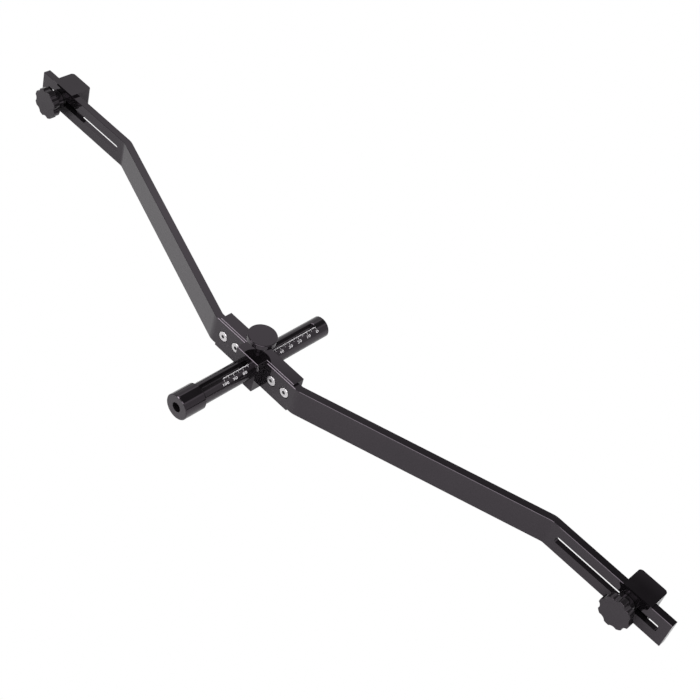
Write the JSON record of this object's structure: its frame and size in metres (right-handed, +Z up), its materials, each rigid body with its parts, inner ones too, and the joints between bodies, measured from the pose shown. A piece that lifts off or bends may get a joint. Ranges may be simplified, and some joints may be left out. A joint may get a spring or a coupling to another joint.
{
  "type": "wheel dishing gauge",
  "caption": "Bicycle wheel dishing gauge with bowed arms, a centre block, a sliding millimetre rod and sliding feet.",
  "frame": {"origin": "on the centre block's underside, below the rod's axis and level with the arms' front face", "axes": "+X along the arms, +Y along the rod towards the wheel, +Z up through the thumb knob"},
  "size_m": [0.7256, 0.1722, 0.047],
  "materials": {
    "anodised_black": "gloss black anodised",
    "rod_black": "gloss black anodised",
    "bright_steel": "bright",
    "plain_steel": "satin",
    "dark_steel": "black oxide",
    "knob_plastic": "satin",
    "brass": "satin"
  },
  "bodies": {
    "frame": {"centre_block": "anodised_black", "arm_left": "anodised_black", "arm_right": "anodised_black", "arm_screw_left_inner": "bright_steel", "arm_screw_left_outer": "bright_steel", "arm_screw_right_inner": "bright_steel", "arm_screw_right_outer": "bright_steel"},
    "rod": {"measuring_rod": "rod_black", "rod_collar": "anodised_black"},
    "pad": {"pressure_pad": "brass"},
    "thumb": {"thumb_knob": "anodised_black", "clamp_screw": "plain_steel"},
    "foot_left": {"foot_block_left": "anodised_black", "foot_stud_left": "plain_steel"},
    "washer_left": {"washer_left": "dark_steel"},
    "star_left": {"star_knob_left": "knob_plastic", "knob_insert_left": "brass"},
    "foot_right": {"foot_block_right": "anodised_black", "foot_stud_right": "plain_steel"},
    "washer_right": {"washer_right": "dark_steel"},
    "star_right": {"star_knob_right": "knob_plastic", "knob_insert_right": "brass"}
  },
  "joints": [
    {"name": "rod_slide", "type": "slide", "parent": "frame", "child": "rod", "axis": [0, 1, 0], "range_m": [-0.06, 0.0475]},
    {"name": "pad_lift", "type": "slide", "parent": "frame", "child": "pad", "axis": [0, 0, 1], "range_m": [0, 0.0021]},
    {"name": "thumb_turn", "type": "hinge", "parent": "pad", "child": "thumb", "pos_m": [0, 0.0025, 0.04695], "axis": [0, 0, 1], "range_deg": [0, 720]},
    {"name": "foot_slide_left", "type": "slide", "parent": "frame", "child": "foot_left", "axis": [-1, 0, 0], "range_m": [-0.069, 0.013]},
    {"name": "washer_lift_left", "type": "slide", "parent": "foot_left", "child": "washer_left", "axis": [0, -1, 0], "range_m": [0, 0.0021]},
    {"name": "star_turn_left", "type": "hinge", "parent": "washer_left", "child": "star_left", "pos_m": [-0.3384, 0.0563, 0.01525], "axis": [0, -1, 0], "range_deg": [0, 720]},
    {"name": "foot_slide_right", "type": "slide", "parent": "frame", "child": "foot_right", "axis": [1, 0, 0], "range_m": [-0.0648, 0.025]},
    {"name": "washer_lift_right", "type": "slide", "parent": "foot_right", "child": "washer_right", "axis": [0, -1, 0], "range_m": [0, 0.0021]},
    {"name": "star_turn_right", "type": "hinge", "parent": "washer_right", "child": "star_right", "pos_m": [0.3264, 0.0563, 0.01525], "axis": [0, -1, 0], "range_deg": [0, 720]}
  ],
  "couplings": [
    {"joint": "pad_lift", "follows": "thumb_turn", "m_per_rad": 0.00015915},
    {"joint": "washer_lift_left", "follows": "star_turn_left", "m_per_rad": 0.00015915},
    {"joint": "washer_lift_right", "follows": "star_turn_right", "m_per_rad": 0.00015915}
  ]
}
